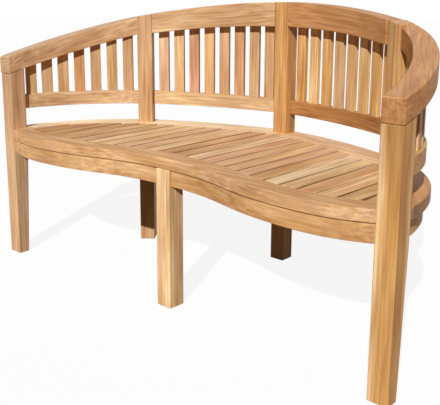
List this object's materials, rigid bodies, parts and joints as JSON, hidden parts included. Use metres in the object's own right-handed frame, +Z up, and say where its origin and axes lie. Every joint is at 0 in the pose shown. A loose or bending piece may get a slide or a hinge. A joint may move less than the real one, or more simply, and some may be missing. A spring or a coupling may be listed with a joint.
{
  "type": "garden bench",
  "caption": "Curved wooden garden bench whose slatted back bends round into the arms, with a peanut-shaped slatted seat on front and rear legs",
  "frame": {"origin": "on the floor below the middle of the bench's bounding box", "axes": "+X to the right as seen from the front, -Y towards the front where sitters enter, +Z up from the floor"},
  "size_m": [1.486, 0.6661, 0.86],
  "materials": {
    "teak_frame": "sanded, unfinished teak",
    "teak_top_rails": "sanded, unfinished teak, paler",
    "teak_back_slats": "sanded, unfinished teak, mixed tones",
    "teak_seat_boards": "sanded, unfinished teak",
    "teak_seat_slats": "sanded, unfinished teak, mixed tones",
    "teak_under_seat": "sawn teak"
  },
  "bodies": {
    "root": {"left_front_leg": "teak_frame", "middle_front_leg": "teak_frame", "right_front_leg": "teak_frame", "left_rear_leg": "teak_frame", "middle_rear_leg": "teak_frame", "right_rear_leg": "teak_frame", "left_arm": "teak_top_rails", "left_top_rail": "teak_top_rails", "right_top_rail": "teak_top_rails", "right_arm": "teak_top_rails", "left_side_lower_rail": "teak_frame", "left_back_lower_rail": "teak_frame", "right_back_lower_rail": "teak_frame", "right_side_lower_rail": "teak_frame", "left_side_slats": "teak_back_slats", "left_back_slats": "teak_back_slats", "right_back_slats": "teak_back_slats", "right_side_slats": "teak_back_slats", "front_seat_board": "teak_seat_boards", "left_rear_board": "teak_seat_boards", "right_rear_board": "teak_seat_boards", "left_side_board": "teak_seat_boards", "right_side_board": "teak_seat_boards", "left_front_rail": "teak_frame", "right_front_rail": "teak_frame", "left_rear_rail": "teak_frame", "right_rear_rail": "teak_frame", "left_side_rail": "teak_frame", "right_side_rail": "teak_frame", "seat_stretcher": "teak_under_seat", "left_bearer": "teak_under_seat", "right_bearer": "teak_under_seat", "joint_pegs": "teak_under_seat", "seat_dowels": "teak_under_seat", "seat_slat_1": "teak_seat_slats", "seat_slat_2": "teak_seat_slats", "seat_slat_3": "teak_seat_slats", "seat_slat_4": "teak_seat_slats", "seat_slat_5": "teak_seat_slats", "seat_slat_6": "teak_seat_slats", "seat_slat_7": "teak_seat_slats", "seat_slat_8": "teak_seat_slats", "seat_slat_9": "teak_seat_slats", "seat_slat_10": "teak_seat_slats", "seat_slat_11": "teak_seat_slats", "seat_slat_12": "teak_seat_slats", "seat_slat_13": "teak_seat_slats", "seat_slat_14": "teak_seat_slats", "seat_slat_15": "teak_seat_slats", "seat_slat_16": "teak_seat_slats", "seat_slat_17": "teak_seat_slats", "seat_slat_18": "teak_seat_slats", "seat_slat_19": "teak_seat_slats", "seat_slat_20": "teak_seat_slats", "seat_slat_21": "teak_seat_slats", "seat_slat_22": "teak_seat_slats", "seat_slat_23": "teak_seat_slats", "seat_slat_24": "teak_seat_slats", "seat_slat_25": "teak_seat_slats"}
  },
  "joints": []
}
